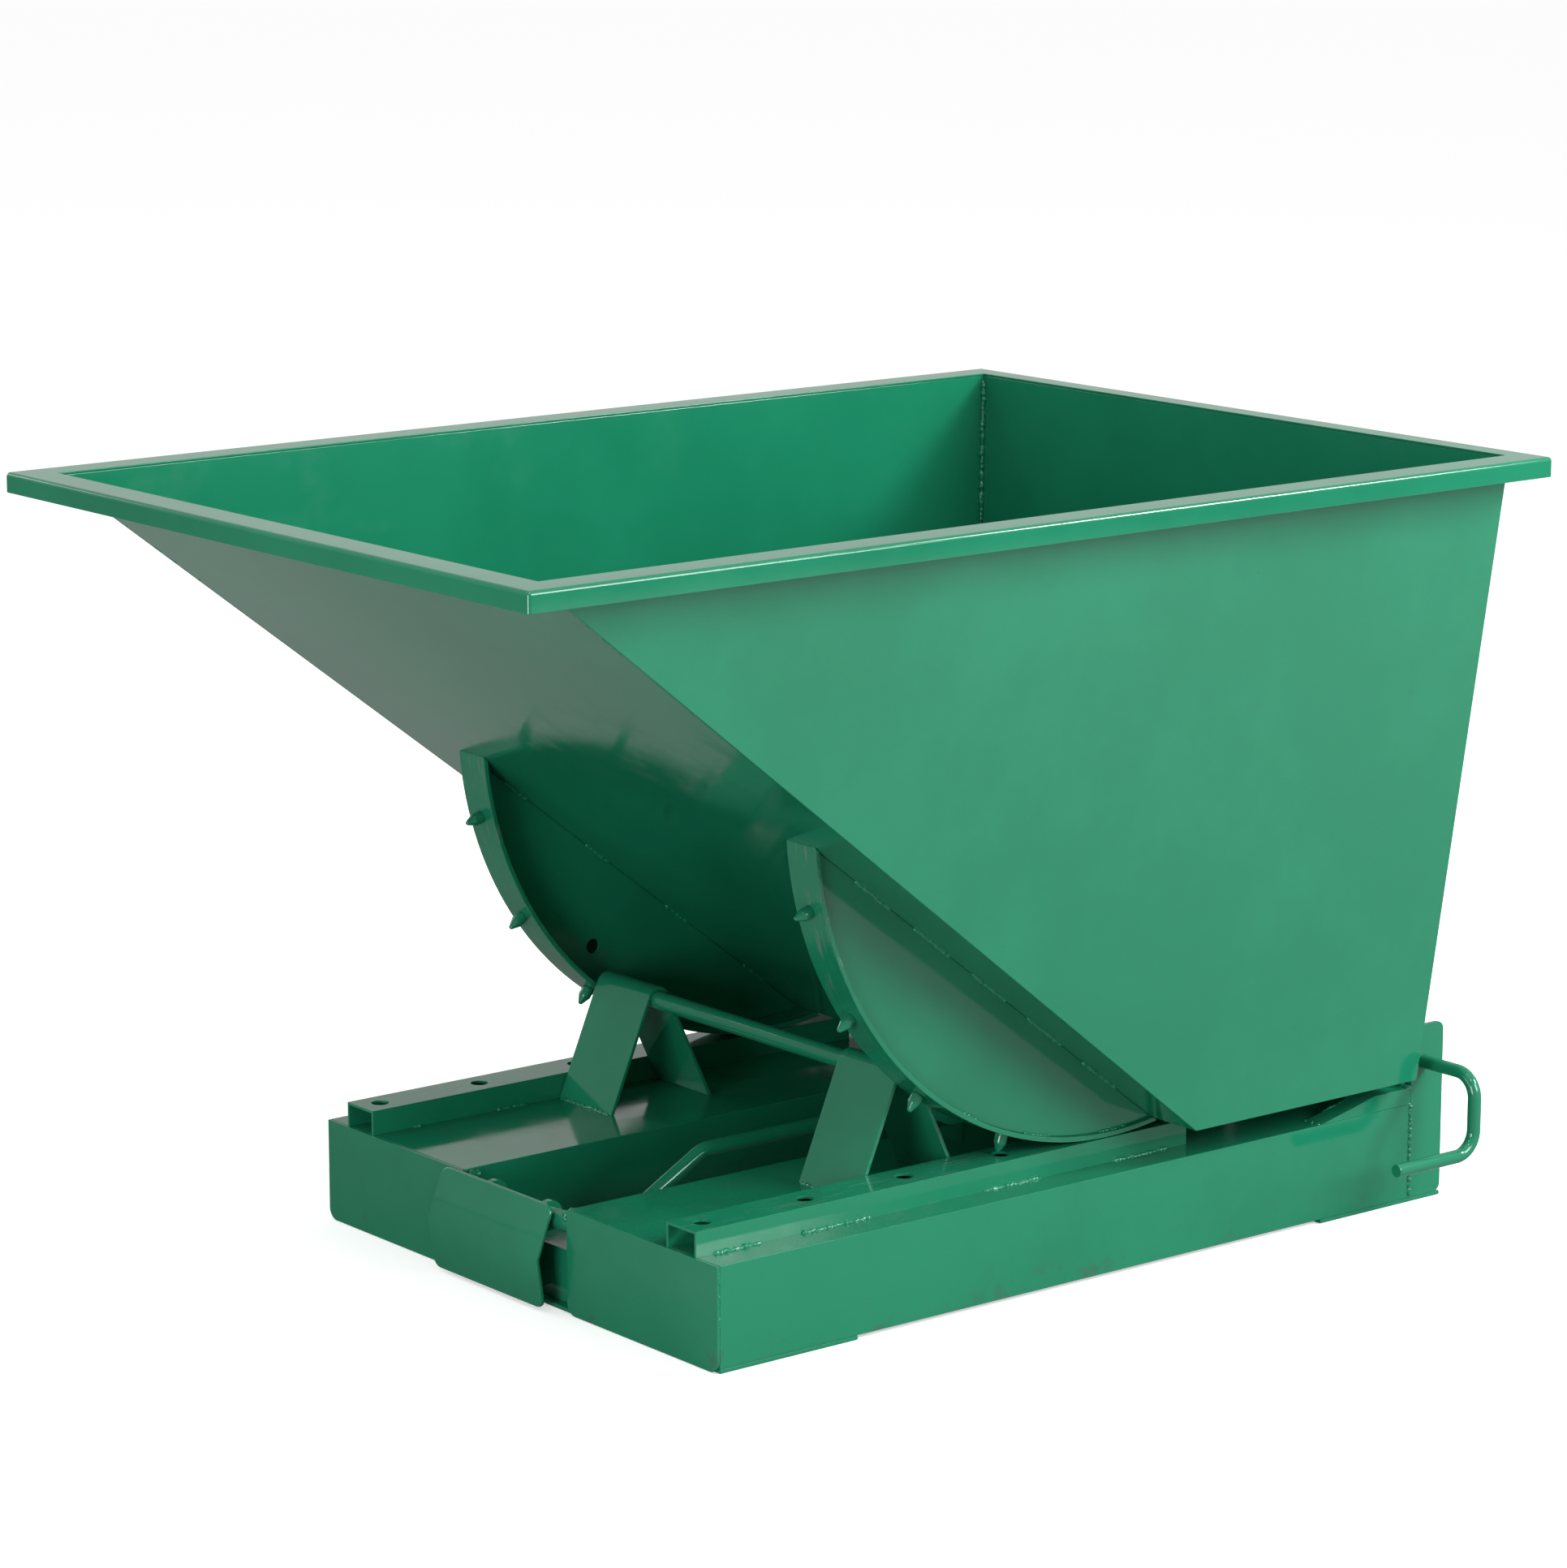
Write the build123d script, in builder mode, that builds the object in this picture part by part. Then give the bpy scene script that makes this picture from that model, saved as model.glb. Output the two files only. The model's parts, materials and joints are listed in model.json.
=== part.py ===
from build123d import *
from math import atan2, cos, radians, sin, sqrt, tan
import os

# Self-tipping hopper: a sheet steel hopper on two round rockers that roll along the rails of a
# fork-pocket base. Millimetres. X is the width, -Y the tipping side, +Y the side where the fork
# tines go in, +Z up. The origin is on the ground, midway between the outermost front and rear points.

# Whole object
rim_length = 1440
rim_width = 1000
rim_top = 900

# Hopper
wall = 3
hopper_bottom = 159  # height of the hopper floor's underside
bottom_half_width = 400
plug_radius = 6  # the plug at the roll centre in each side wall
plug_sheet = 1.8
bottom_front = 995  # floor's front edge, measured back from the rim's front
bottom_length = 352
floor_sheet = 4
flange_front = 38
flange_side = 40
flange_rear = 30
rim_sheet = 3
lip_height = 23

# Base frame
base_front = 330  # front face of the base, measured back from the rim's front
base_half_width = 371
base_top = 120
channel_sheet = 4
well_half_width = 100  # half the open well between the two fork channels
strap_thickness = 5
front_strap_length = 190
rear_strap_length = 197
front_plate = 4
front_plate_corner = 14

# Rolling track
roll_radius = 430
contact_back = 924  # where the rockers touch the rails, measured back from the rim's front
roll_gap = 0.4  # between rocker strip and rail
track_x = 306
stud_pitch = 141
stud_count = 5
stud_radius = 7.5
stud_shank = 10
stud_cone = 12
stud_tip_radius = 2
stud_hole_play = 2.7
rocker_plate = 5
rocker_strip = 6
strip_width = 50
strip_overlap = 6  # how far the strip stands out past the rocker plate
lock_hole_radius = 9
lock_hole_depth = 3.5
lock_hole_inset = 41  # in from the rocker plate's round edge
lock_hole_turn = 39.7  # degrees forward of straight down from the roll centre
rail_width = 52
rail_height = 29
rail_sheet = 3
rail_lead = 28  # rail's front end to its first stud hole
rail_tail = 119  # last stud hole to the rail's rear end

# Stands and cross bar
stand_width = 102
stand_gap = 2  # between stand and rail
stand_sheet = 5
stand_foot_front = 597
stand_foot_span = 150
stand_vertex = 288  # height where the outer faces of a stand's legs would meet
stand_peak = 71  # that meeting, measured back from the front foot
bar_radius = 11

# Release gear
shaft_radius = 8
shaft_inset = 20  # shaft behind the end plate's front edge
shaft_height = 169
running_gap = 0.06
handle_reach = 84  # the handle's upright past the base's side
handle_drop = 93
handle_grip = 127  # free end, forward of the shaft
handle_bend = 28
end_plate = 6
end_plate_gap = 16.3  # between the rear wall and the end plate's top
end_plate_length = 52
end_plate_height = 214
end_plate_corner = 10
collar_length = 10
collar_radius = 15
collar_gap = 0.4  # between collar and end plate
hub_radius = 12  # around the shaft, on the hook and on the arm
hook_x = -40
hook_sheet = 10
hook_drop = 44  # hook's lower end below the shaft
hook_lip = 10  # how far the nose stands forward of the throat
keeper_width = 60
keeper_sheet = 8
keeper_low = 130
keeper_foot = 8  # the keeper's leg stands this far forward of the floor's rear edge
keeper_gap = 0.8
arm_sheet = 16
arm_tip_radius = 8

# Bump flap and push rod
flap_left = -130
flap_width = 210
flap_sheet = 4.5
flap_gap = 0.5  # between flap and front plate
flap_bulge = 21.5
flap_bulge_height = 61
flap_toe = 13.5
flap_toe_height = 4
pivot_back = 341
pivot_height = 101
pivot_radius = 11
pivot_bore = 7
lug_sheet = 8
lug_radius = 17
lug_spread = 52
rod_radius = 9
rod_x = 20
rod_low = 18
rod_high = 126
rod_level = 70  # level run behind the flap
rod_rise = 197
rod_end_gap = 2
arm_gap = 1.2
guide_sheet = 6
guide_play = 0.6
guide_top = 145
front_member_back = 345
front_member_depth = 40
front_member_height = 66
member_sheet = 5
mid_guide_back = 905
rear_guide_back = 1320

# Rest blocks under the hopper's rear, and the low ramps outside them
rest_width = 27
rest_length = 98
rest_overlap = 36  # how much of the block lies under the hopper's floor
rest_gap = 0.4
rest_plate = 5
rest_plate_inset = 2  # plate's rear face, forward of the floor's rear edge
ramp_width = 26
ramp_height = 20
ramp_run = 90
ramp_level = 58

# Places worked out from the sizes above
front_y = -rim_length / 2
rear_y = front_y + rim_length
half_width = rim_width / 2
top_half_width = half_width - flange_side
top_front_y = front_y + flange_front
top_rear_y = rear_y - flange_rear
bottom_front_y = front_y + bottom_front
bottom_rear_y = bottom_front_y + bottom_length
hopper_height = rim_top - hopper_bottom
slope_angle = atan2(hopper_height, bottom_front_y - top_front_y)

base_front_y = front_y + base_front
channel_front_y = base_front_y + front_plate
rail_top = base_top + rail_height
contact_y = front_y + contact_back
roll_center_z = rail_top + roll_gap + roll_radius
stud_step = stud_pitch / roll_radius
rail_front_y = contact_y - (stud_count - 1) * stud_pitch - rail_lead
rail_rear_y = contact_y + rail_tail
strip_outer_x = track_x + strip_width / 2
plate_outer_x = strip_outer_x - strip_overlap

pivot_y = front_y + pivot_back

os.makedirs("parts", exist_ok=True)


def save(piece, name):
    piece.label = name
    export_step(piece, f"parts/{name}.step")


def across(y):
    """Upright plane across the object at y: local x is +X and local y is +Z."""
    return Plane.XZ.offset(-y)


def along(x):
    """Upright plane along the object at x: local x is +Y and local y is +Z."""
    return Plane.YZ.offset(x)


def half_width_at(z):
    """Half width of the hopper's outside at height z."""
    rise = (z - hopper_bottom) / hopper_height
    return bottom_half_width + rise * (top_half_width - bottom_half_width)


def front_at(z):
    """The sloped front's outer face at height z."""
    return bottom_front_y - (z - hopper_bottom) / tan(slope_angle)


def rear_at(z):
    """The rear wall's outer face at height z."""
    return bottom_rear_y + (z - hopper_bottom) / hopper_height * (top_rear_y - bottom_rear_y)


# The end plates stand clear of the leaning rear wall, and the base ends with them
seam_y = rear_at(end_plate_height) + end_plate_gap
base_rear_y = seam_y + end_plate_length
shaft_y = seam_y + shaft_inset


def hopper_block(low, high, sides_in, front_in, rear_in):
    """A block between two heights whose faces stand in from the hopper's outer faces."""
    with BuildPart() as block:
        for z in (low, high):
            half = half_width_at(z) - sides_in
            front, rear = front_at(z) + front_in, rear_at(z) - rear_in
            with BuildSketch(Plane.XY.offset(z)):
                with Locations((0, (front + rear) / 2)):
                    Rectangle(2 * half, rear - front)
        loft(ruled=True)
    return block.part


# Each wall's thickness measured level, because the walls lean
side_lean = atan2(top_half_width - bottom_half_width, hopper_height)
rear_lean = atan2(top_rear_y - bottom_rear_y, hopper_height)
side_level = wall / cos(side_lean)
front_level = wall / sin(slope_angle)
rear_level = wall / cos(rear_lean)
outside = hopper_block(hopper_bottom, rim_top, 0, 0, 0)
floor_top = hopper_bottom + floor_sheet
below, above, beyond = hopper_bottom - 1, rim_top + 1, 2 * rim_length
between_sides = hopper_block(below, above, side_level, -beyond, -beyond)

# Hopper side walls, the full height of the hopper, holed at the roll centre
with BuildPart() as side_walls:
    add(outside)
    add(between_sides, mode=Mode.SUBTRACT)
    with BuildSketch(along(0)):
        with Locations((contact_y, roll_center_z)):
            Circle(plug_radius + running_gap)
    extrude(amount=half_width, both=True, mode=Mode.SUBTRACT)
left_wall, right_wall = side_walls.solids().sort_by(Axis.X)
save(left_wall, "hopper_left_wall")
save(right_wall, "hopper_right_wall")

# Hopper floor, between the side walls
with BuildPart() as floor_plate:
    add(outside)
    add(between_sides, mode=Mode.INTERSECT)
    split(bisect_by=Plane.XY.offset(floor_top), keep=Keep.BOTTOM)
save(floor_plate.part, "hopper_floor")

# Sloped front and rear wall, standing on the floor between the side walls
inside = hopper_block(below, above, -1, front_level, rear_level)
with BuildPart() as end_walls:
    add(outside)
    add(between_sides, mode=Mode.INTERSECT)
    add(inside, mode=Mode.SUBTRACT)
    split(bisect_by=Plane.XY.offset(floor_top), keep=Keep.TOP)
sloped_front, rear_wall = end_walls.solids().sort_by(Axis.Y)
save(sloped_front, "hopper_sloped_front")
save(rear_wall, "hopper_rear_wall")

# Rim: four mitred lengths of folded edge around the hopper's mouth
outer_corners = [(-half_width, front_y), (half_width, front_y), (half_width, rear_y), (-half_width, rear_y)]
inner_corners = [
    (-top_half_width, top_front_y),
    (top_half_width, top_front_y),
    (top_half_width, top_rear_y),
    (-top_half_width, top_rear_y),
]
for side, name in enumerate(("front_rim", "right_rim", "rear_rim", "left_rim")):
    following = (side + 1) % 4
    with BuildPart() as rim:
        with BuildSketch(Plane.XY.offset(rim_top - lip_height)):
            with BuildLine():
                Polyline(
                    outer_corners[side],
                    outer_corners[following],
                    inner_corners[following],
                    inner_corners[side],
                    close=True,
                )
            make_face()
        extrude(amount=lip_height)
        with BuildSketch(Plane.XY.offset(rim_top - lip_height)):
            with Locations((0, (front_y + rear_y) / 2)):
                Rectangle(rim_width - 2 * rim_sheet, rim_length - 2 * rim_sheet)
        extrude(amount=lip_height - rim_sheet, mode=Mode.SUBTRACT)
    save(rim.part, name)


def slope_crossings(radius):
    """The two points (y, z) where a circle about the roll centre meets the sloped front's outer face."""
    run_y, run_z = -cos(slope_angle), sin(slope_angle)
    to_y, to_z = bottom_front_y - contact_y, hopper_bottom - roll_center_z
    nearest = -(to_y * run_y + to_z * run_z)
    offset_squared = to_y**2 + to_z**2 - nearest**2
    half_chord = sqrt(radius**2 - offset_squared)
    return [
        (bottom_front_y + run_y * s, hopper_bottom + run_z * s)
        for s in (nearest - half_chord, nearest + half_chord)
    ]


def rocker_point(radius, angle):
    """A point (y, z) at an angle forward of straight down from the roll centre."""
    return contact_y - radius * sin(angle), roll_center_z - radius * cos(angle)


def angle_of(point):
    """Angle forward of straight down from the roll centre to a point (y, z)."""
    return atan2(contact_y - point[0], roll_center_z - point[1])


# The stands' legs, and the centre of the bend between them, where the cross bar lies
foot_y = front_y + stand_foot_front
stand_outer_x = track_x - rail_width / 2 - stand_gap
stand_bend = bar_radius + stand_sheet
front_lean = atan2(stand_peak, stand_vertex - base_top)
back_lean = atan2(stand_foot_span - stand_peak, stand_vertex - base_top)
bend_reach = stand_bend / sin((front_lean + back_lean) / 2)
bend_tilt = (back_lean - front_lean) / 2
bar_y = foot_y + stand_peak + bend_reach * sin(bend_tilt)
bar_z = stand_vertex - bend_reach * cos(bend_tilt)

plate_radius = roll_radius - rocker_strip
plate_low, plate_high = slope_crossings(plate_radius)
strip_low, strip_high = slope_crossings(roll_radius)
lock_hole = rocker_point(plate_radius - lock_hole_inset, radians(lock_hole_turn))

for side, sign in (("left", -1), ("right", 1)):
    # Rocker plate: a circle's segment under the sloped front
    with BuildPart() as rocker:
        with BuildSketch(along(sign * (plate_outer_x - rocker_plate / 2))):
            with BuildLine():
                middle = rocker_point(plate_radius, (angle_of(plate_low) + angle_of(plate_high)) / 2)
                ThreePointArc(plate_low, middle, plate_high)
                Line(plate_high, plate_low)
            make_face()
        extrude(amount=rocker_plate / 2, both=True)
        if side == "left":
            with BuildSketch(along(sign * (plate_outer_x - rocker_plate))):
                with Locations(lock_hole):
                    Circle(lock_hole_radius)
            extrude(amount=sign * lock_hole_depth, mode=Mode.SUBTRACT)
    save(rocker.part, f"{side}_rocker_plate")

    # Rocker strip: the bent flat bar that rolls on the rail
    with BuildPart() as strip:
        with BuildSketch(along(sign * track_x)):
            with BuildLine():
                middle_angle = (angle_of(strip_low) + angle_of(strip_high)) / 2
                ThreePointArc(strip_low, rocker_point(roll_radius, middle_angle), strip_high)
                Line(strip_high, plate_high)
                ThreePointArc(plate_high, rocker_point(plate_radius, middle_angle), plate_low)
                Line(plate_low, strip_low)
            make_face()
        extrude(amount=strip_width / 2, both=True)
    save(strip.part, f"{side}_rocker_strip")

    # Studs: pointed pins that drop into the rail's holes as the rocker rolls
    with BuildPart() as studs:
        for step in range(stud_count):
            angle = step * stud_step
            y, z = rocker_point(roll_radius, angle)
            root = Plane(origin=(sign * track_x, y, z), x_dir=(1, 0, 0), z_dir=(0, -sin(angle), -cos(angle)))
            with Locations(root):
                Cylinder(stud_radius, stud_shank, align=(Align.CENTER, Align.CENTER, Align.MIN))
            with Locations(root.offset(stud_shank)):
                Cone(stud_radius, stud_tip_radius, stud_cone, align=(Align.CENTER, Align.CENTER, Align.MIN))
    save(studs.part, f"{side}_studs")

    # Rail: a folded channel with its open side down on the base, holed at the stud pitch
    with BuildPart() as rail:
        with BuildSketch(across(rail_rear_y)):
            with Locations((sign * track_x, base_top + rail_height / 2)):
                Rectangle(rail_width, rail_height)
            with Locations((sign * track_x, base_top + (rail_height - rail_sheet) / 2)):
                Rectangle(rail_width - 2 * rail_sheet, rail_height - rail_sheet, mode=Mode.SUBTRACT)
        extrude(amount=rail_rear_y - rail_front_y)
        with Locations(Plane.XY.offset(rail_top)):
            with Locations([(sign * track_x, contact_y - step * stud_pitch) for step in range(stud_count)]):
                Hole(stud_radius + stud_hole_play, depth=2 * rail_sheet)
    save(rail.part, f"{side}_rail")

    # Fork channel: a folded sheet open below, closed by the straps and the front plate
    channel_width = base_half_width - well_half_width
    channel_x = sign * (base_half_width + well_half_width) / 2
    channel_height = base_top - strap_thickness
    with BuildPart() as channel:
        with BuildSketch(across(base_rear_y)):
            with Locations((channel_x, strap_thickness + channel_height / 2)):
                Rectangle(channel_width, channel_height)
            with Locations((channel_x, strap_thickness + (channel_height - channel_sheet) / 2)):
                Rectangle(
                    channel_width - 2 * channel_sheet,
                    channel_height - channel_sheet,
                    mode=Mode.SUBTRACT,
                )
        extrude(amount=base_rear_y - channel_front_y)
        with BuildSketch(along(sign * base_half_width)):
            with Locations(((base_rear_y + seam_y) / 2, base_top / 2)):
                Rectangle(end_plate_length, 2 * base_top)
        extrude(amount=-sign * end_plate, mode=Mode.SUBTRACT)
    save(channel.part, f"{side}_fork_channel")

    # Front plate: closes the channel's front, with its lower corners rounded
    with BuildPart() as cover:
        with BuildSketch(across(channel_front_y)):
            with Locations((channel_x, base_top / 2)):
                Rectangle(channel_width, base_top)
        extrude(amount=front_plate)
        lower_corners = cover.edges().filter_by(Axis.Y).group_by(Axis.Z)[0]
        fillet(lower_corners, front_plate_corner)
    save(cover.part, f"{side}_front_plate")

    # End plate: stands on edge at the base's rear corner and carries the release shaft
    with BuildPart() as bearing_plate:
        with BuildSketch(along(sign * (base_half_width - end_plate / 2))):
            with Locations(((base_rear_y + seam_y) / 2, (strap_thickness + end_plate_height) / 2)):
                Rectangle(end_plate_length, end_plate_height - strap_thickness)
        extrude(amount=end_plate / 2, both=True)
        long_edges = bearing_plate.edges().filter_by(Axis.X)
        lower_rear = long_edges.group_by(Axis.Z)[0].sort_by(Axis.Y)[-1]
        fillet(long_edges.group_by(Axis.Z)[-1] + [lower_rear], end_plate_corner)
        with Locations(along(sign * base_half_width)):
            with Locations((shaft_y, shaft_height)):
                Hole(shaft_radius + running_gap, depth=3 * end_plate)
    save(bearing_plate.part, f"{side}_end_plate")

    # Stand: a flat bar bent over the cross bar, one foot each side
    with BuildPart() as stand:
        with BuildSketch(along(sign * (stand_outer_x - stand_width / 2))):
            with BuildLine():
                FilletPolyline(
                    (foot_y, base_top),
                    (foot_y + stand_peak, stand_vertex),
                    (foot_y + stand_foot_span, base_top),
                    radius=stand_bend,
                )
                offset(amount=stand_sheet, side=Side.RIGHT)
            make_face()
        extrude(amount=stand_width / 2, both=True)
        split(bisect_by=Plane.XY.offset(base_top), keep=Keep.TOP)
    save(stand.part, f"{side}_stand")

# Plugs at the roll centre: small discs inside the thickness of the leaning side walls
with BuildPart() as plugs:
    for sign in (-1, 1):
        with BuildSketch(along(sign * (half_width_at(roll_center_z) - side_level / 2))):
            with Locations((contact_y, roll_center_z)):
                Circle(plug_radius)
        extrude(amount=plug_sheet / 2, both=True)
save(plugs.part, "roll_center_plugs")

# Cross bar: joins the two stands right under their bends
with BuildPart() as cross_bar:
    with BuildSketch(along(0)):
        with Locations((bar_y, bar_z)):
            Circle(bar_radius)
    extrude(amount=stand_outer_x, both=True)
save(cross_bar.part, "cross_bar")

# Straps across the underside, front and rear
for name, low_y, length in (
    ("front_base_strap", channel_front_y, front_strap_length),
    ("rear_base_strap", base_rear_y - rear_strap_length, rear_strap_length),
):
    with BuildPart() as strap:
        with BuildSketch():
            with Locations((0, low_y + length / 2)):
                Rectangle(2 * base_half_width, length)
        extrude(amount=strap_thickness)
    save(strap.part, name)

# Front crossmember: an angle across the well, holed for the push rod
member_front = front_y + front_member_back
with BuildPart() as front_member:
    with BuildSketch(along(0)):
        with BuildLine():
            Polyline(
                (member_front, strap_thickness),
                (member_front, front_member_height),
                (member_front + front_member_depth, front_member_height),
                (member_front + front_member_depth, front_member_height - member_sheet),
                (member_front + member_sheet, front_member_height - member_sheet),
                (member_front + member_sheet, strap_thickness),
                close=True,
            )
        make_face()
    extrude(amount=well_half_width, both=True)
    with Locations(across(member_front)):
        with Locations((rod_x, rod_low)):
            Hole(rod_radius + guide_play, depth=3 * member_sheet)
save(front_member.part, "front_crossmember")

# Guides: upright plates across the well that carry the push rod
for name, back, foot in (
    ("middle_rod_guide", mid_guide_back, base_top - 2 * channel_sheet),
    ("rear_rod_guide", rear_guide_back, strap_thickness),
):
    guide_y = front_y + back
    with BuildPart() as guide:
        with BuildSketch(across(guide_y)):
            with Locations((0, (foot + guide_top) / 2)):
                Rectangle(2 * well_half_width, guide_top - foot)
            with Locations((rod_x, rod_high)):
                Circle(rod_radius + guide_play, mode=Mode.SUBTRACT)
        extrude(amount=guide_sheet / 2, both=True)
    save(guide.part, name)

# Rest blocks: carry the rear of the hopper's floor and run on under the release shaft
rest_x = base_half_width - ramp_width - rest_width / 2
rest_y = bottom_rear_y - rest_overlap + rest_length / 2
with BuildPart() as rests:
    with BuildSketch(Plane.XY.offset(base_top)):
        with Locations((-rest_x, rest_y), (rest_x, rest_y)):
            Rectangle(rest_width, rest_length)
    extrude(amount=hopper_bottom - rest_gap - base_top)
save(rests.part, "rest_blocks")

# Rest plates: stand across the channels from each block to the well
plate_width = rest_x - rest_width / 2 - well_half_width
with BuildPart() as rest_plates:
    with BuildSketch(Plane.XY.offset(base_top)):
        plate_x = well_half_width + plate_width / 2
        plate_y = bottom_rear_y - rest_plate_inset - rest_plate / 2
        with Locations((-plate_x, plate_y), (plate_x, plate_y)):
            Rectangle(plate_width, rest_plate)
    extrude(amount=hopper_bottom - rest_gap - base_top)
save(rest_plates.part, "rest_plates")

# Base ramps: low ramps on the base's outer edges that run up to the end plates
ramp_top = base_top + ramp_height
with BuildPart() as ramps:
    for sign in (-1, 1):
        with BuildSketch(along(sign * base_half_width)):
            with BuildLine():
                Polyline(
                    (seam_y - ramp_level - ramp_run, base_top),
                    (seam_y - ramp_level, ramp_top),
                    (seam_y, ramp_top),
                    (seam_y, base_top),
                    close=True,
                )
            make_face()
        extrude(amount=-sign * ramp_width)
save(ramps.part, "base_ramps")

# Bump flap: a plate bent forward at its middle, hung in front of the well
flap_top_y = base_front_y - flap_gap - flap_sheet
with BuildPart() as flap:
    with BuildSketch(along(flap_left)):
        with BuildLine():
            Polyline(
                (flap_top_y, base_top),
                (flap_top_y - flap_bulge, flap_bulge_height),
                (flap_top_y - flap_toe, flap_toe_height),
                (flap_top_y - flap_toe + flap_sheet, flap_toe_height),
                (flap_top_y - flap_bulge + flap_sheet, flap_bulge_height),
                (flap_top_y + flap_sheet, base_top),
                close=True,
            )
        make_face()
    extrude(amount=flap_width)
save(flap.part, "bump_flap")

# Flap lugs: two eyes welded to the flap's back that turn on the pivot tube
upper_slope = flap_bulge / (base_top - flap_bulge_height)
lug_high, lug_low = pivot_height + lug_radius / 2, pivot_height - lug_radius
lug_edge = [(flap_top_y + flap_sheet - upper_slope * (base_top - z), z) for z in (lug_high, lug_low)]
with BuildPart() as lugs:
    for sign in (-1, 1):
        with BuildSketch(along(sign * lug_spread)):
            with BuildLine():
                Polyline(*lug_edge, (pivot_y, lug_low), (pivot_y, lug_high), close=True)
            make_face()
            with Locations((pivot_y, pivot_height)):
                Circle(lug_radius)
                Circle(pivot_radius + running_gap, mode=Mode.SUBTRACT)
        extrude(amount=lug_sheet / 2, both=True)
    with BuildSketch(along(-2 * lug_spread)):
        with BuildLine():
            Polyline(
                (flap_top_y + flap_sheet, base_top),
                (flap_top_y + flap_sheet - flap_bulge, flap_bulge_height),
                (flap_top_y - 2 * flap_bulge, flap_bulge_height),
                (flap_top_y - 2 * flap_bulge, base_top),
                close=True,
            )
        make_face()
    extrude(amount=4 * lug_spread, mode=Mode.SUBTRACT)
save(lugs.part, "flap_lugs")

# Pivot tube: spans the well behind the flap
with BuildPart() as pivot_tube:
    with BuildSketch(along(0)):
        with Locations((pivot_y, pivot_height)):
            Circle(pivot_radius)
            Circle(pivot_bore, mode=Mode.SUBTRACT)
    extrude(amount=well_half_width, both=True)
save(pivot_tube.part, "flap_pivot_tube")

# Push rod: one bent bar from the flap's toe to the latch arm
lower_slope = (flap_bulge - flap_toe) / (flap_bulge_height - flap_toe_height)
flap_back_at_rod = flap_top_y + flap_sheet - flap_toe - lower_slope * (rod_low - flap_toe_height)
rod_front_y = flap_back_at_rod + rod_end_gap
arm_front_y = shaft_y - arm_tip_radius
rod_bend = rod_front_y + rod_level
with BuildPart() as push_rod:
    with BuildLine() as rod_path:
        FilletPolyline(
            (rod_x, rod_front_y, rod_low),
            (rod_x, rod_bend, rod_low),
            (rod_x, rod_bend + rod_rise, rod_high),
            (rod_x, arm_front_y - arm_gap, rod_high),
            radius=4 * rod_radius,
        )
    with BuildSketch(Plane(origin=rod_path.line @ 0, z_dir=rod_path.line % 0)):
        Circle(rod_radius)
    sweep()
    rings = push_rod.edges().filter_by(GeomType.CIRCLE).group_by(Axis.Y)
    chamfer(rings[0] + rings[-1], rod_radius / 2)
save(push_rod.part, "push_rod")

# Release handle: one bar, straight across the base as the latch shaft, then bent down and forward
handle_x = base_half_width + handle_reach
with BuildPart() as handle:
    with BuildLine() as handle_path:
        FilletPolyline(
            (-base_half_width - collar_length, shaft_y, shaft_height),
            (handle_x, shaft_y, shaft_height),
            (handle_x, shaft_y, shaft_height - handle_drop),
            (handle_x, shaft_y - handle_grip, shaft_height - handle_drop),
            radius=handle_bend,
        )
    with BuildSketch(Plane(origin=handle_path.line @ 0, z_dir=handle_path.line % 0)):
        Circle(shaft_radius)
    sweep()
save(handle.part, "release_handle")

# Shaft collars: keep the shaft in its end plates
with BuildPart() as collars:
    for sign in (-1, 1):
        with BuildSketch(along(sign * (base_half_width - end_plate - collar_gap - collar_length / 2))):
            with Locations((shaft_y, shaft_height)):
                Circle(collar_radius)
                Circle(shaft_radius, mode=Mode.SUBTRACT)
        extrude(amount=collar_length / 2, both=True)
save(collars.part, "shaft_collars")

# Keeper: a bracket under the hopper's floor whose tongue reaches back below the shaft
nose_y = shaft_y - hub_radius
keeper_rear = nose_y - keeper_gap
keeper_top = keeper_low + keeper_sheet
leg_rear = bottom_rear_y - keeper_foot
with BuildPart() as keeper:
    with BuildSketch(along(hook_x)):
        with BuildLine():
            Polyline(
                (leg_rear - keeper_sheet, hopper_bottom),
                (leg_rear - keeper_sheet, keeper_low),
                (keeper_rear, keeper_low),
                (keeper_rear, keeper_top),
                (leg_rear, keeper_top),
                (leg_rear, hopper_bottom),
                close=True,
            )
        make_face()
    extrude(amount=keeper_width / 2, both=True)
save(keeper.part, "latch_keeper")

# Latch hook: hangs from the shaft with its nose just behind and above the keeper's tongue
throat_y = nose_y + hook_lip
nose_low = keeper_top + keeper_gap
with BuildPart() as hook:
    with BuildSketch(along(hook_x)):
        with Locations((shaft_y, shaft_height)):
            Circle(hub_radius)
        with BuildLine():
            Polyline(
                (shaft_y + hub_radius, shaft_height),
                (shaft_y + hub_radius, shaft_height - hook_drop),
                (throat_y, shaft_height - hook_drop),
                (throat_y, nose_low),
                (nose_y, nose_low),
                (nose_y, shaft_height),
                close=True,
            )
        make_face()
        with Locations((shaft_y, shaft_height)):
            Circle(shaft_radius, mode=Mode.SUBTRACT)
    extrude(amount=hook_sheet / 2, both=True)
save(hook.part, "latch_hook")

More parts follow.
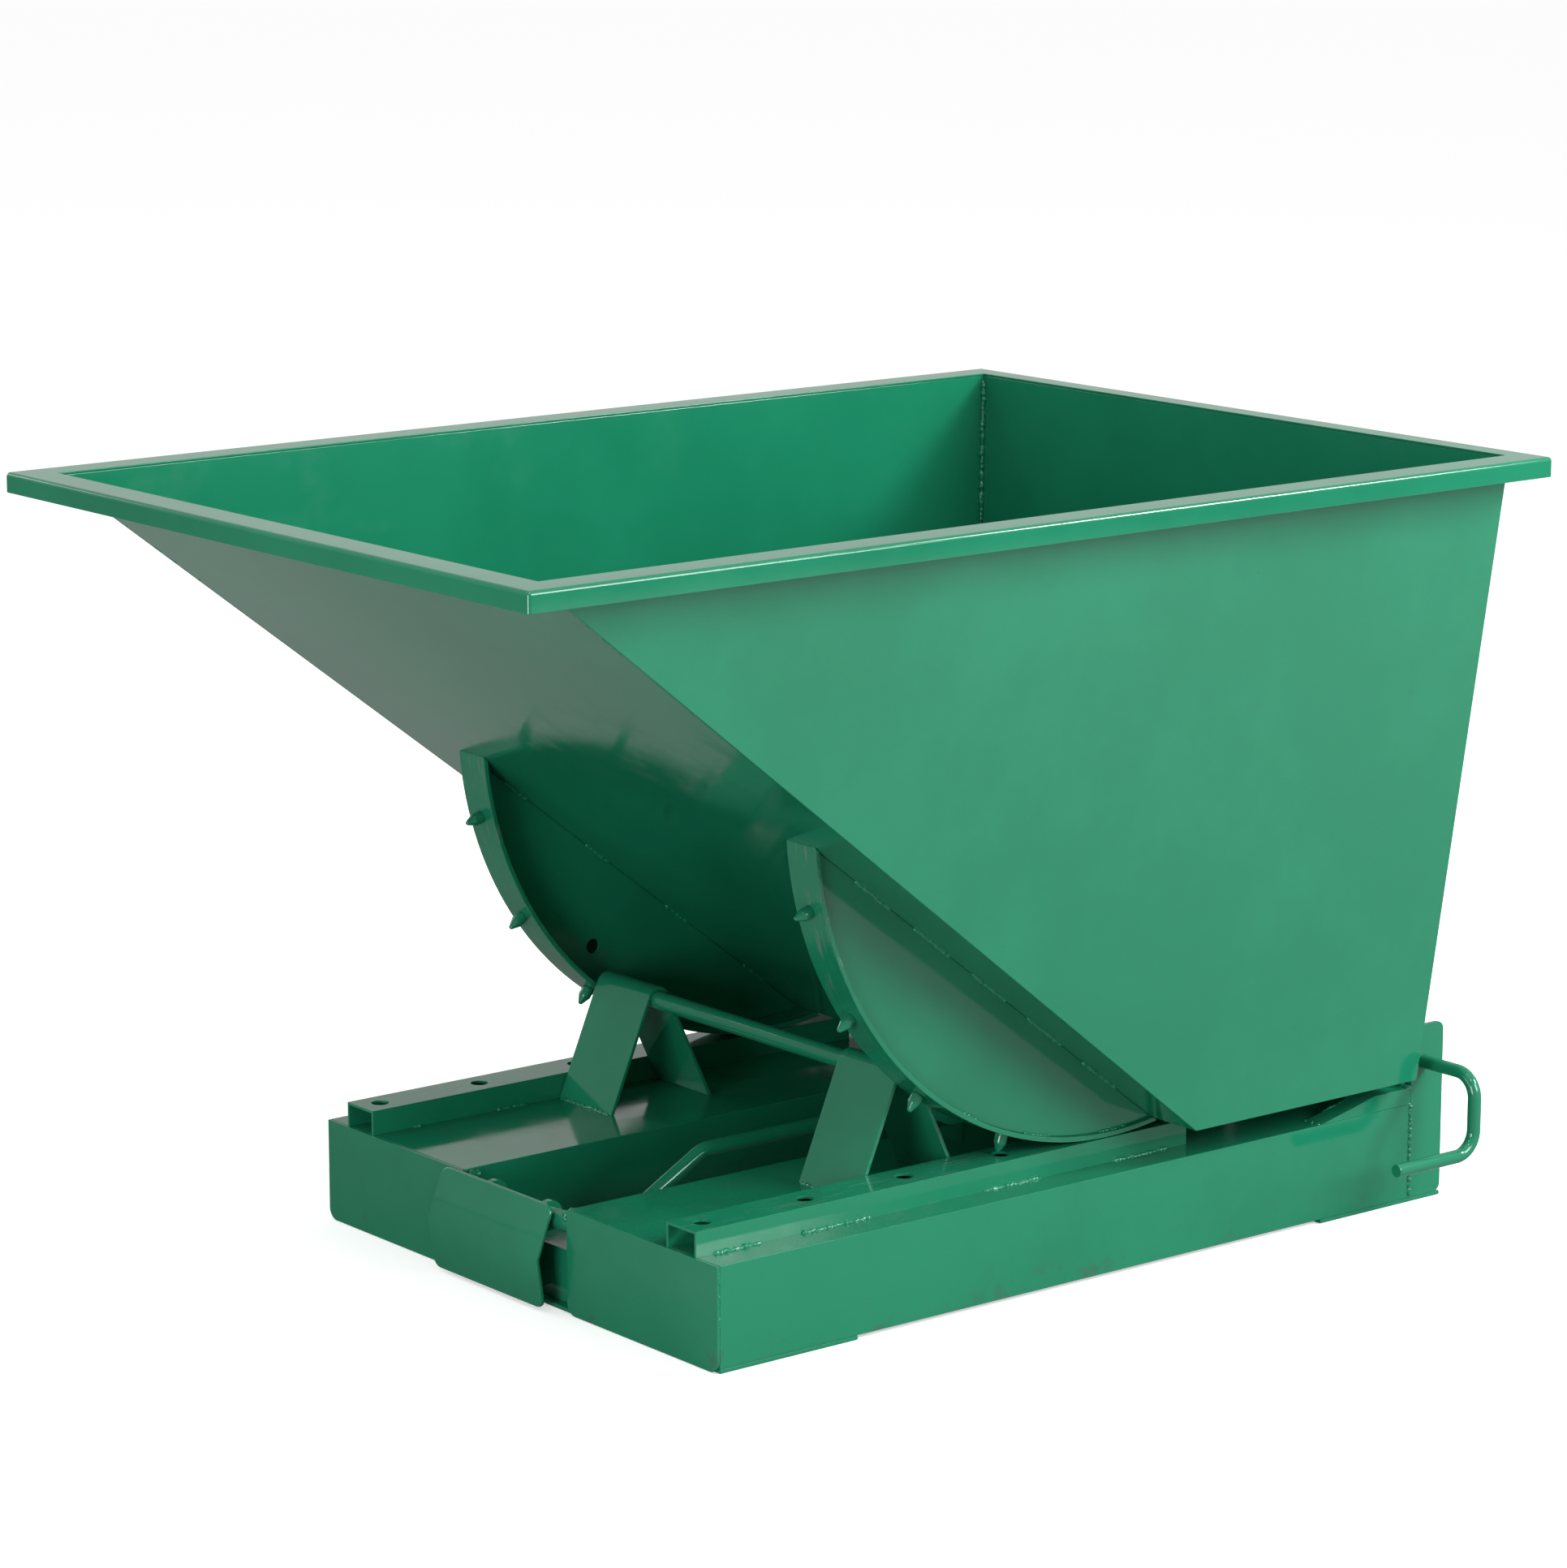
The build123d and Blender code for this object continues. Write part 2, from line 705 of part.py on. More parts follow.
# Latch arm: hangs from the shaft behind the push rod's end
with BuildPart() as arm:
    with BuildSketch(along(rod_x)):
        with Locations((shaft_y, shaft_height)):
            Circle(hub_radius)
        with Locations((shaft_y, rod_high)):
            Circle(arm_tip_radius)
        with Locations((shaft_y, (shaft_height + rod_high) / 2)):
            Rectangle(2 * arm_tip_radius, shaft_height - rod_high)
        with Locations((shaft_y, shaft_height)):
            Circle(shaft_radius, mode=Mode.SUBTRACT)
    extrude(amount=arm_sheet / 2, both=True)
save(arm.part, "latch_arm")
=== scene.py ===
import json
import math
import random

import bpy
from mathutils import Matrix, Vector


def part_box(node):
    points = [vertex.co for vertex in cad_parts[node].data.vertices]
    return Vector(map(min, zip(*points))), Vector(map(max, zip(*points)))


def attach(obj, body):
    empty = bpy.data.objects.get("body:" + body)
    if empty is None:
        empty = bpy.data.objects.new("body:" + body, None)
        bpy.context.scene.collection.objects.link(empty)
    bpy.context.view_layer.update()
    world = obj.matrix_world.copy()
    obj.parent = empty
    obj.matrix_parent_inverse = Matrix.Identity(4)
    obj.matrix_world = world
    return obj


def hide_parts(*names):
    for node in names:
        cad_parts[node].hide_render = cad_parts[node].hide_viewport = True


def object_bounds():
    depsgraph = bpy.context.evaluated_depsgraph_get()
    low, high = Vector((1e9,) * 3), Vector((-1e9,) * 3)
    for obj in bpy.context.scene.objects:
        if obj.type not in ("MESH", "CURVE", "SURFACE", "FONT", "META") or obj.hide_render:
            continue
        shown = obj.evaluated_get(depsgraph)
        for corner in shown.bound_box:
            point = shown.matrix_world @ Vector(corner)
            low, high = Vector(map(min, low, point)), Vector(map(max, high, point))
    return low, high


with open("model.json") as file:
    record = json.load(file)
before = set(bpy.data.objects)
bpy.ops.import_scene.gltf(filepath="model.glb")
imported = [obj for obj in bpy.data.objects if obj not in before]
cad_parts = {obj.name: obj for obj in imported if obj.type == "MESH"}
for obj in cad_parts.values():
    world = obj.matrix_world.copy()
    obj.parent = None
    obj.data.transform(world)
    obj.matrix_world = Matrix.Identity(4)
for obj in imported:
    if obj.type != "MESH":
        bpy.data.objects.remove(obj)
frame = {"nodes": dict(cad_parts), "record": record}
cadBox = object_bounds()
record = frame["record"]
bodyOf = {node: body for body, names in record["behaviour"]["bodies"].items() for node in names}
slotOf = {part["node"]: part["material_slot"] for part in record["subparts"]}
sideSign = {"left": -1, "right": 1}
tiny = 0.00002  # points nearer than this are one point
foldAngle = 32  # degrees: a sharper fold than this gets a rounded edge
print("frame loaded:", len(bodyOf), "nodes")


def deselectAll():
    if bpy.context.mode != "OBJECT":
        bpy.ops.object.mode_set(mode="OBJECT")
    bpy.ops.object.select_all(action="DESELECT")


def pickOnly(piece):
    deselectAll()
    piece.select_set(True)
    bpy.context.view_layer.objects.active = piece


def editMesh(piece, mode="VERT"):
    pickOnly(piece)
    bpy.ops.object.mode_set(mode="EDIT")
    bpy.ops.mesh.select_mode(type=mode)
    bpy.ops.mesh.select_all(action="DESELECT")
    bpy.ops.object.mode_set(mode="OBJECT")


def selectVerts(piece, rule):
    # rule(x, y, z) says which points are picked; edges and faces follow
    editMesh(piece, "VERT")
    for vert in piece.data.vertices:
        vert.select = rule(*vert.co)
    bpy.ops.object.mode_set(mode="EDIT")


def selectEdges(piece, rule):
    # rule(end, otherEnd) says which edges are picked
    editMesh(piece, "EDGE")
    points = [vert.co for vert in piece.data.vertices]
    for edge in piece.data.edges:
        edge.select = rule(points[edge.vertices[0]], points[edge.vertices[1]])
    bpy.ops.object.mode_set(mode="EDIT")


def selectFaces(piece, rule):
    # rule(centre, normal) says which faces are picked
    editMesh(piece, "FACE")
    for face in piece.data.polygons:
        face.select = rule(face.center, face.normal)
    bpy.ops.object.mode_set(mode="EDIT")


def applyModifiers(piece):
    pickOnly(piece)
    for modifier in list(piece.modifiers):
        bpy.ops.object.modifier_apply(modifier=modifier.name)


def bakePlace(piece):
    pickOnly(piece)
    bpy.ops.object.transform_apply(location=True, rotation=True, scale=True)


def named(piece, name):
    piece.name = name
    piece.data.name = name
    return piece


def roundEdges(piece, width, segments=2, angle=foldAngle):
    bevel = piece.modifiers.new("roundEdges", "BEVEL")
    bevel.width = width
    bevel.segments = segments
    bevel.limit_method = "ANGLE"
    bevel.angle_limit = math.radians(angle)
    bevel.use_clamp_overlap = True
    applyModifiers(piece)


def smoothFaces(piece, angle=38):
    pickOnly(piece)
    bpy.ops.object.shade_smooth_by_angle(angle=math.radians(angle))
    weighted = piece.modifiers.new("flatFacesFirst", "WEIGHTED_NORMAL")
    weighted.keep_sharp = True
    applyModifiers(piece)


def fitOut(piece, body, paint, slotName, *replaced):
    # paint it, hang it on its body and hide what it stands for
    piece.data.materials.clear()
    piece.data.materials.append(paint)
    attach(piece, body)
    if replaced:
        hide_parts(*replaced)
    return piece


# Shader groups and the small helpers that every paint uses
def newGroup(name, inputs, outputs):
    group = bpy.data.node_groups.new(name, "ShaderNodeTree")
    for label, kind, value in inputs:
        socket = group.interface.new_socket(label, in_out="INPUT", socket_type=kind)
        socket.default_value = value
    for label, kind in outputs:
        group.interface.new_socket(label, in_out="OUTPUT", socket_type=kind)
    return group, group.nodes.new("NodeGroupInput"), group.nodes.new("NodeGroupOutput")


def addNode(tree, kind, **settings):
    node = tree.nodes.new(kind)
    for key, value in settings.items():
        setattr(node, key, value)
    return node


def addNoise(tree, coords, scale, detail=3.0, roughness=0.5):
    noise = addNode(tree, "ShaderNodeTexNoise")
    noise.inputs["Scale"].default_value = scale
    noise.inputs["Detail"].default_value = detail
    noise.inputs["Roughness"].default_value = roughness
    tree.links.new(coords, noise.inputs["Vector"])
    return noise.outputs["Fac"]


def addRange(tree, value, low, high, toLow=0.0, toHigh=1.0):
    mapped = addNode(tree, "ShaderNodeMapRange", interpolation_type="SMOOTHSTEP")
    for label, number in (("From Min", low), ("From Max", high), ("To Min", toLow), ("To Max", toHigh)):
        mapped.inputs[label].default_value = number
    tree.links.new(value, mapped.inputs["Value"])
    return mapped.outputs["Result"]


def addMath(tree, operation, first, second):
    mathNode = addNode(tree, "ShaderNodeMath", operation=operation)
    for socket, value in zip(mathNode.inputs, (first, second)):
        if isinstance(value, (int, float)):
            socket.default_value = value
        else:
            tree.links.new(value, socket)
    return mathNode.outputs[0]


# Sprayed enamel: size of its waves and orange peel, and of the clouds in its tone and gloss
sprayLook = {
    "waveScale": 9.0, "peelScale": 420.0, "toneScale": 3.2, "toneBand": (0.32, 0.68),
    "hazeScale": 14.0, "hazeBand": (0.42, 0.72),
}


def makeSprayGroup():
    group, given, out = newGroup(
        "sprayedSurface",
        [("Vector", "NodeSocketVector", (0, 0, 0)), ("Wave", "NodeSocketFloat", 0.5),
         ("Peel", "NodeSocketFloat", 0.2)],
        [("Tone", "NodeSocketFloat"), ("Height", "NodeSocketFloat"), ("Haze", "NodeSocketFloat")],
    )
    coords = given.outputs["Vector"]
    waves = addNoise(group, coords, sprayLook["waveScale"], 2.0)
    wave = addMath(group, "MULTIPLY", waves, given.outputs["Wave"])
    dimples = addNoise(group, coords, sprayLook["peelScale"], 1.0)
    peel = addMath(group, "MULTIPLY", dimples, given.outputs["Peel"])
    group.links.new(addMath(group, "ADD", wave, peel), out.inputs["Height"])
    clouds = addNoise(group, coords, sprayLook["toneScale"], 5.0, 0.62)
    group.links.new(addRange(group, clouds, *sprayLook["toneBand"]), out.inputs["Tone"])
    patches = addNoise(group, coords, sprayLook["hazeScale"], 6.0, 0.7)
    group.links.new(addRange(group, patches, *sprayLook["hazeBand"]), out.inputs["Haze"])
    return group


# Chipped and rubbed edges: where a rounded normal leaves the true one, broken up by noise
wearLook = {"edgeBand": (0.999, 0.93), "chipScale": 46.0, "chipBand": (0.5, 0.62)}


def makeWearGroup():
    group, given, out = newGroup(
        "edgeWear",
        [("Vector", "NodeSocketVector", (0, 0, 0)), ("Reach", "NodeSocketFloat", 0.002),
         ("Amount", "NodeSocketFloat", 0.5)],
        [("Wear", "NodeSocketFloat")],
    )
    links = group.links
    rounded = addNode(group, "ShaderNodeBevel", samples=4)
    links.new(given.outputs["Reach"], rounded.inputs["Radius"])
    true = addNode(group, "ShaderNodeNewGeometry")
    dot = addNode(group, "ShaderNodeVectorMath", operation="DOT_PRODUCT")
    links.new(rounded.outputs["Normal"], dot.inputs[0])
    links.new(true.outputs["Normal"], dot.inputs[1])
    edge = addRange(group, dot.outputs["Value"], *wearLook["edgeBand"])
    chips = addNoise(group, given.outputs["Vector"], wearLook["chipScale"], 7.0, 0.72)
    broken = addRange(group, chips, *wearLook["chipBand"])
    rubbed = addMath(group, "MULTIPLY", edge, broken)
    links.new(addMath(group, "MULTIPLY", rubbed, given.outputs["Amount"]), out.inputs["Wear"])
    return group


# Dust on faces that look up, scuffs near the floor and scattered specks
dirtLook = {
    "upBand": (0.55, 0.95), "dustScale": 11.0, "dustBand": (0.4, 0.75),
    "scuffScale": 23.0, "scuffBand": (0.54, 0.68), "speckScale": 150.0, "speckBand": (0.77, 0.8),
}


def makeDirtGroup():
    group, given, out = newGroup(
        "yardDirt",
        [("Vector", "NodeSocketVector", (0, 0, 0)), ("Dust", "NodeSocketFloat", 0.2),
         ("Splash", "NodeSocketFloat", 0.4), ("Splash Top", "NodeSocketFloat", 0.08)],
        [("Dirt", "NodeSocketFloat"), ("Speck", "NodeSocketFloat")],
    )
    links = group.links
    coords = given.outputs["Vector"]
    facing = addNode(group, "ShaderNodeNewGeometry")
    parts = addNode(group, "ShaderNodeSeparateXYZ")
    links.new(facing.outputs["Normal"], parts.inputs[0])
    upward = addRange(group, parts.outputs["Z"], *dirtLook["upBand"])
    clouds = addNoise(group, coords, dirtLook["dustScale"], 6.0, 0.66)
    settled = addMath(group, "MULTIPLY", upward, addRange(group, clouds, *dirtLook["dustBand"]))
    dust = addMath(group, "MULTIPLY", settled, given.outputs["Dust"])
    place = addNode(group, "ShaderNodeSeparateXYZ")
    links.new(coords, place.inputs[0])
    near = addNode(group, "ShaderNodeMapRange")
    near.inputs["To Min"].default_value = 1.0
    near.inputs["To Max"].default_value = 0.0
    links.new(given.outputs["Splash Top"], near.inputs["From Max"])
    links.new(place.outputs["Z"], near.inputs["Value"])
    scuffs = addNoise(group, coords, dirtLook["scuffScale"], 8.0, 0.7)
    thrown = addMath(group, "MULTIPLY", near.outputs[0], addRange(group, scuffs, *dirtLook["scuffBand"]))
    splash = addMath(group, "MULTIPLY", thrown, given.outputs["Splash"])
    links.new(addMath(group, "MAXIMUM", dust, splash), out.inputs["Dirt"])
    specks = addNoise(group, coords, dirtLook["speckScale"], 2.0, 0.5)
    links.new(addRange(group, specks, *dirtLook["speckBand"]), out.inputs["Speck"])
    return group


sprayGroup = makeSprayGroup()
wearGroup = makeWearGroup()
dirtGroup = makeDirtGroup()

# Green enamel: one recipe, and each part's own wear and dirt
enamel = {
    "deep": (0.0070, 0.158, 0.080, 1.0),
    "light": (0.0095, 0.184, 0.095, 1.0),
    "primer": (0.045, 0.235, 0.150, 1.0),
    "grime": (0.045, 0.065, 0.048, 1.0),
    "bare": (0.33, 0.34, 0.33, 1.0),
    "roughness": 0.075, "hazeRoughness": 0.07, "dirtRoughness": 0.45, "bareRoughness": 0.2,
    "ior": 1.5,
    "speckShare": 0.5,  # how far a speck covers the green
    "bumpStrength": 0.22, "bumpDepth": 0.0012, "chipDepth": 0.25,
    # streaks rubbed bare: how far under the rolling face they end and start, and their shape
    "rubStart": 0.0012, "rubFull": 0.0002, "streakShape": (60.0, 6.0, 6.0), "streakBand": (0.56, 0.7),
}


def mixColours(tree, factor, first, second):
    mix = addNode(tree, "ShaderNodeMix", data_type="RGBA")
    tree.links.new(factor, mix.inputs[0])
    for socket, value in ((mix.inputs[6], first), (mix.inputs[7], second)):
        if isinstance(value, tuple):
            socket.default_value = value
        else:
            tree.links.new(value, socket)
    return mix.outputs[2]


def makePaint(name, wave=0.5, peel=0.12, wear=0.35, reach=0.002, dust=0.12, splash=0.25, splashTop=0.08,
              rubbed=0.0, rubHeight=0.0, tone=None):
    paint = bpy.data.materials.new(name)
    paint.use_nodes = True
    tree = paint.node_tree
    tree.nodes.clear()
    links = tree.links
    coords = addNode(tree, "ShaderNodeTexCoord").outputs["Object"]
    groups = {}
    for label, group in (("spray", sprayGroup), ("wear", wearGroup), ("dirt", dirtGroup)):
        groups[label] = addNode(tree, "ShaderNodeGroup", node_tree=group)
        links.new(coords, groups[label].inputs["Vector"])
    spray, worn, dirty = groups["spray"], groups["wear"], groups["dirt"]
    spray.inputs["Wave"].default_value = wave
    spray.inputs["Peel"].default_value = peel
    worn.inputs["Reach"].default_value = reach
    worn.inputs["Amount"].default_value = wear
    dirty.inputs["Dust"].default_value = dust
    dirty.inputs["Splash"].default_value = splash
    dirty.inputs["Splash Top"].default_value = splashTop

    green = mixColours(tree, spray.outputs["Tone"], enamel["deep"], enamel["light"])
    chipped = mixColours(tree, worn.outputs["Wear"], green, enamel["primer"])
    speck = addMath(tree, "MULTIPLY", dirty.outputs["Speck"], enamel["speckShare"])
    specked = mixColours(tree, speck, chipped, enamel["grime"])
    colour = mixColours(tree, dirty.outputs["Dirt"], specked, enamel["grime"])
    hazed = enamel["roughness"] + enamel["hazeRoughness"]
    rough = addRange(tree, spray.outputs["Haze"], 0.0, 1.0, enamel["roughness"], hazed)
    dull = addMath(tree, "MULTIPLY", dirty.outputs["Dirt"], enamel["dirtRoughness"])
    rough = addMath(tree, "ADD", rough, dull)
    metal = None
    if rubbed:
        # bare streaks along a rolling face, at a known height
        place = addNode(tree, "ShaderNodeSeparateXYZ")
        links.new(coords, place.inputs[0])
        rubLow, rubHigh = rubHeight - enamel["rubStart"], rubHeight - enamel["rubFull"]
        level = addRange(tree, place.outputs["Z"], rubLow, rubHigh)
        stretched = addNode(tree, "ShaderNodeMapping")
        stretched.inputs["Scale"].default_value = enamel["streakShape"]
        links.new(coords, stretched.inputs["Vector"])
        scratches = addNoise(tree, stretched.outputs[0], 3.0, 6.0, 0.7)
        streaks = addRange(tree, scratches, *enamel["streakBand"])
        metal = addMath(tree, "MULTIPLY", addMath(tree, "MULTIPLY", level, streaks), rubbed)
        colour = mixColours(tree, metal, colour, enamel["bare"])
        rough = addMath(tree, "ADD", rough, addMath(tree, "MULTIPLY", metal, enamel["bareRoughness"]))

    bump = addNode(tree, "ShaderNodeBump")
    bump.inputs["Strength"].default_value = enamel["bumpStrength"]
    bump.inputs["Distance"].default_value = enamel["bumpDepth"]
    chip = addMath(tree, "MULTIPLY", worn.outputs["Wear"], enamel["chipDepth"])
    height = addMath(tree, "SUBTRACT", spray.outputs["Height"], chip)
    links.new(height, bump.inputs["Height"])

    shader = addNode(tree, "ShaderNodeBsdfPrincipled")
    shader.inputs["IOR"].default_value = enamel["ior"]
    if tone:
        shader.inputs["Base Color"].default_value = tone  # one colour all over
    else:
        links.new(colour, shader.inputs["Base Color"])
    links.new(rough, shader.inputs["Roughness"])
    if metal is not None:
        links.new(metal, shader.inputs["Metallic"])
    links.new(bump.outputs["Normal"], shader.inputs["Normal"])
    surface = addNode(tree, "ShaderNodeOutputMaterial")
    links.new(shader.outputs["BSDF"], surface.inputs["Surface"])
    return paint


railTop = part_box("left_rail")[1].z
paints = {
    "hopper_paint": makePaint("hopperEnamel", wave=0.7, wear=0.25, dust=0.08, splash=0.0),
    "frame_paint": makePaint("frameEnamel", wave=0.45, wear=0.4, dust=0.2, splash=0.5, splashTop=0.05),
    "rail_paint": makePaint("railEnamel", wave=0.35, wear=0.5, dust=0.12, rubbed=0.5, rubHeight=railTop),
    "stud_paint": makePaint("studEnamel", wave=0.2, wear=0.6, dust=0.0, splash=0.0),
    "gear_paint": makePaint("gearEnamel", wave=0.3, wear=0.45, dust=0.1),
}
weldPaint = makePaint("weldEnamel", wave=0.2, peel=0.5, wear=0.2, dust=0.05, splash=0.0)
print("paints made:", len(paints) + 1)


# Sheet and bar parts: the frame's own shapes with their edges rounded as folded and ground steel has them
roundings = {
    "_fork_channel": 0.0028, "_front_plate": 0.0011, "_rail": 0.0014, "_end_plate": 0.0012, "_stand": 0.0011,
    "_base_strap": 0.0011, "_rocker_plate": 0.0009, "_rocker_strip": 0.0012, "_studs": 0.0014,
    "_rod_guide": 0.0012, "front_crossmember": 0.0012, "rest_blocks": 0.0016, "bump_flap": 0.0013,
    "flap_lugs": 0.0010, "flap_pivot_tube": 0.0008, "cross_bar": 0.0010, "latch_": 0.0010,
    "release_handle": 0.0016, "push_rod": 0.0008, "shaft_collars": 0.0008, "roll_center_plugs": 0.0003,
    "base_ramps": 0.0008, "rest_plates": 0.0008, "hopper_": 0.0007,
}


flatJoin = 0.4  # degrees: facets that meet flatter than this become one face


def dressedCopy(node):
    piece = bpy.data.objects.new(node + "_shaped", frame["nodes"][node].data.copy())
    bpy.context.collection.objects.link(piece)
    pickOnly(piece)
    bpy.ops.mesh.customdata_custom_splitnormals_clear()
    bpy.ops.object.mode_set(mode="EDIT")
    bpy.ops.mesh.select_all(action="SELECT")
    bpy.ops.mesh.remove_doubles(threshold=tiny)
    bpy.ops.mesh.dissolve_limited(angle_limit=math.radians(flatJoin))
    bpy.ops.object.mode_set(mode="OBJECT")
    return piece


def farthest(node, x=0, y=0, z=0):
    # the node's point that lies farthest in a direction
    aim = Vector((x, y, z))
    return max((vert.co.copy() for vert in frame["nodes"][node].data.vertices), key=aim.dot)


def closeHole(piece, y, z, reach):
    # a hole right through both faces, painted over on the real wall
    selectVerts(piece, lambda pointX, pointY, pointZ: math.hypot(pointY - y, pointZ - z) < reach)
    bpy.ops.mesh.delete(type="VERT")
    bpy.ops.mesh.select_all(action="SELECT")
    bpy.ops.mesh.fill_holes(sides=0)
    bpy.ops.object.mode_set(mode="OBJECT")


def roundingOf(node):
    return next(width for part, width in roundings.items() if part in node)


def fitShaped(piece, node):
    return fitOut(piece, bodyOf[node], paints[slotOf[node]], slotOf[node], node)


# The folded rim; the walls below it stop under its sheet
rimFold = {"sheet": 0.003, "bend": 0.0048, "edge": 0.0007, "slopeLevel": 0.005}
rollCentre = (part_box("roll_center_plugs")[0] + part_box("roll_center_plugs")[1]) / 2
rims = ("front_rim", "right_rim", "rear_rim", "left_rim")
wallPlates = ("hopper_left_wall", "hopper_right_wall", "hopper_rear_wall", "hopper_sloped_front")
flapLow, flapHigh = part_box("bump_flap")
flapCorner = 0.012
plugHole = 0.008  # covers the hole at the roll centre in each side wall
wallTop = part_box("front_rim")[1].z - rimFold["sheet"]
shapedCount = 0
for node in bodyOf:
    if node in rims:
        continue
    piece = dressedCopy(node)
    if node in wallPlates:
        # the rim's flange covers the top of each wall, so the wall stops just under it
        pickOnly(piece)
        bpy.ops.object.mode_set(mode="EDIT")
        bpy.ops.mesh.select_all(action="SELECT")
        bpy.ops.mesh.bisect(plane_co=(0, 0, wallTop), plane_no=(0, 0, 1), clear_outer=True, use_fill=True)
        bpy.ops.object.mode_set(mode="OBJECT")
    if node == "bump_flap":
        # the plate's own corners are ground round
        selectEdges(piece, lambda a, b: abs(a.z - b.z) < tiny and abs(a.x - b.x) < tiny
                    and (a.z < flapLow.z + tiny or a.z > flapHigh.z - tiny))
        bpy.ops.mesh.bevel(offset=flapCorner, segments=4, affect="EDGES")
        bpy.ops.object.mode_set(mode="OBJECT")
    if node in wallPlates[:2]:
        closeHole(piece, rollCentre.y, rollCentre.z, plugHole)
    roundEdges(piece, roundingOf(node))
    smoothFaces(piece)
    fitShaped(piece, node)
    shapedCount += 1
print("shaped parts:", shapedCount)


# Rim: one folded strip round the mouth, with a flange on top and a lip turned down outside
def buildRim():
    low = Vector([min(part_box(name)[0][axis] for name in rims) for axis in range(3)])
    high = Vector([max(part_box(name)[1][axis] for name in rims) for axis in range(3)])
    # the flange runs in over the wall tops to the walls' inner faces
    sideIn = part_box("hopper_rear_wall")[1].x
    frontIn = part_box("hopper_sloped_front")[0].y + rimFold["slopeLevel"]
    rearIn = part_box("hopper_rear_wall")[1].y - rimFold["sheet"]
    deselectAll()
    bpy.ops.mesh.primitive_cube_add(size=1, location=(low + high) / 2)
    rim = named(bpy.context.object, "folded_rim")
    rim.scale = high - low
    bakePlace(rim)
    selectFaces(rim, lambda centre, normal: normal.z < -0.9)
    bpy.ops.mesh.delete(type="ONLY_FACE")
    selectEdges(rim, lambda a, b: max(a.z, b.z) > high.z - tiny)
    bpy.ops.mesh.bevel(offset=rimFold["bend"], segments=4, affect="EDGES")
    selectFaces(rim, lambda centre, normal: normal.z > 0.9999)
    bpy.ops.mesh.inset(thickness=0.01)
    bpy.ops.object.mode_set(mode="OBJECT")
    for vert in rim.data.vertices:
        if vert.select:
            vert.co.x = math.copysign(sideIn, vert.co.x)
            vert.co.y = frontIn if vert.co.y < 0 else rearIn
    bpy.ops.object.mode_set(mode="EDIT")
    bpy.ops.mesh.delete(type="ONLY_FACE")
    bpy.ops.object.mode_set(mode="OBJECT")
    sheet = rim.modifiers.new("sheet", "SOLIDIFY")
    sheet.thickness = rimFold["sheet"]
    sheet.offset = -1
    sheet.use_even_offset = True
    applyModifiers(rim)
    roundEdges(rim, rimFold["edge"], 2, 50)
    smoothFaces(rim)
    fitOut(rim, "hopper", paints["hopper_paint"], "hopper_paint", *rims)


buildRim()
print("rim folded")


# Weld beads: drops laid along a seam, run together and painted over with the rest
# lap, vary and wander are shares of a bead's radius; grain is the melted skin's step
weldLay = {"lap": 0.8, "vary": 0.34, "wander": 0.26, "grain": 0.0009}


def layWeld(name, body, slotName, runs, grain=weldLay["grain"]):
    # runs: (start, end, radius of the bead)
    chance = random.Random(name)
    deselectAll()
    bpy.ops.mesh.primitive_ico_sphere_add(subdivisions=2, radius=1)
    first = bpy.context.object
    drops = []
    for start, end, radius in runs:
        start, end = Vector(start), Vector(end)
        count = max(1, round((end - start).length / (radius * weldLay["lap"])))
        for step in range(count + 1):
            drop = bpy.data.objects.new("drop", first.data.copy())
            bpy.context.collection.objects.link(drop)
            size = radius * chance.uniform(1 - weldLay["vary"], 1 + weldLay["vary"])
            stray = Vector([chance.uniform(-1, 1) for axis in range(3)]) * radius * weldLay["wander"]
            drop.location = start.lerp(end, step / count) + stray
            drop.scale = (size, size, size)
            drops.append(drop)
    bpy.data.objects.remove(first)
    deselectAll()
    for drop in drops:
        drop.select_set(True)
    bpy.context.view_layer.objects.active = drops[0]
    bpy.ops.object.join()
    bead = named(bpy.context.object, name)
    bakePlace(bead)
    melt = bead.modifiers.new("melt", "REMESH")
    melt.mode = "VOXEL"
    melt.voxel_size = grain
    melt.use_smooth_shade = True
    applyModifiers(bead)
    fitOut(bead, body, weldPaint, slotName)


def stitches(start, end, radius, length, pitch):
    # a broken seam: short beads at an even pitch
    start, end = Vector(start), Vector(end)
    whole = (end - start).length
    count = max(1, int(whole // pitch))
    margin = (whole - (count - 1) * pitch - length) / 2
    runs = []
    for number in range(count):
        begin = (margin + number * pitch) / whole
        runs.append((start.lerp(end, begin), start.lerp(end, begin + length / whole), radius))
    return runs


# Hopper seams, inside the mouth; the beads lie in the corners and never reach through the sheets
innerBead = {
    "inset": 0.0022, "thin": 0.0022, "heavy": 0.0030, "slope": 0.0026, "grain": 0.0013,
    "heavyShare": 0.22,  # the top part of each rear corner, where the bead is heavy
    "topGap": 0.01,
}
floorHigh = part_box("hopper_floor")[1]
rearLow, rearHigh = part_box("hopper_rear_wall")
slopeLow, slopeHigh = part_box("hopper_sloped_front")
inset = innerBead["inset"]
innerX, topX = floorHigh.x - inset, rearHigh.x - inset
footZ, topZ = floorHigh.z + inset, rearHigh.z - rimFold["sheet"]
rearFootY, rearTopY = rearLow.y - inset, rearHigh.y - rimFold["sheet"] - inset
slopeFootY, slopeTopY = slopeHigh.y + inset, slopeLow.y + rimFold["slopeLevel"] + inset
innerSeams = []
